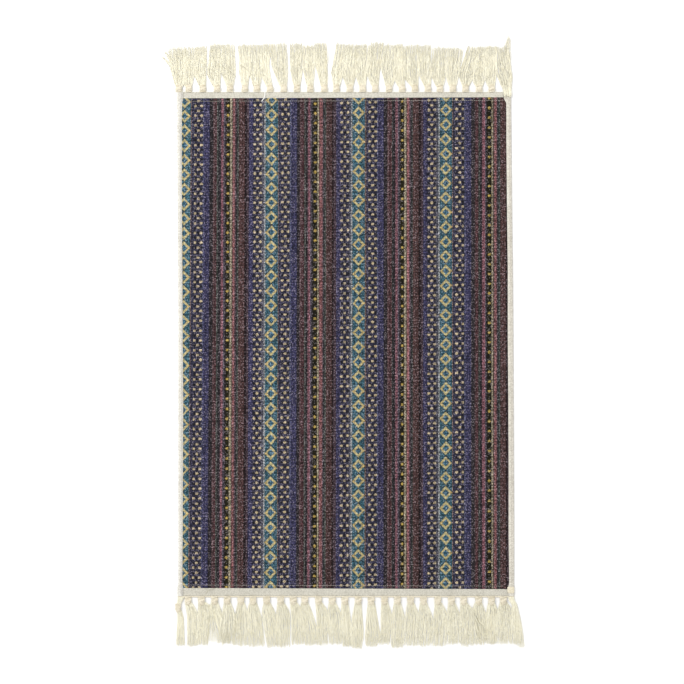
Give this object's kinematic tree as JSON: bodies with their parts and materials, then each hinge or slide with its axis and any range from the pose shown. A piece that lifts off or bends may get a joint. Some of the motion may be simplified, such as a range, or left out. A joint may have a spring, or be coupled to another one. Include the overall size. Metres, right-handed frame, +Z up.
{
  "type": "doormat",
  "caption": "Flat woven doormat with a striped panel, taped edges and a knotted yarn fringe along each short end.",
  "frame": {"origin": "middle of the whole outline, fringe included, on the floor that the mat lies on", "axes": "+Y along the mat's length, towards the end with the long corner wisp; +X across it; +Z up out of its face"},
  "size_m": [0.6422, 1.0934, 0.0085],
  "materials": {
    "woven_stripes": "matte flat weave in stripes of indigo, teal, maroon, black and sand",
    "cream_tape": "matte cream cotton tape",
    "ribbed_tape": "matte pale tape with fine ribs across it",
    "cream_yarn": "soft fluffy cream cotton yarn"
  },
  "bodies": {
    "root": {"mat_panel": "woven_stripes", "side_binding_left": "cream_tape", "side_binding_right": "cream_tape", "heading_band_top": "ribbed_tape", "heading_band_bottom": "ribbed_tape", "knotted_fringe_top": "cream_yarn", "knotted_fringe_bottom": "cream_yarn"}
  },
  "joints": []
}
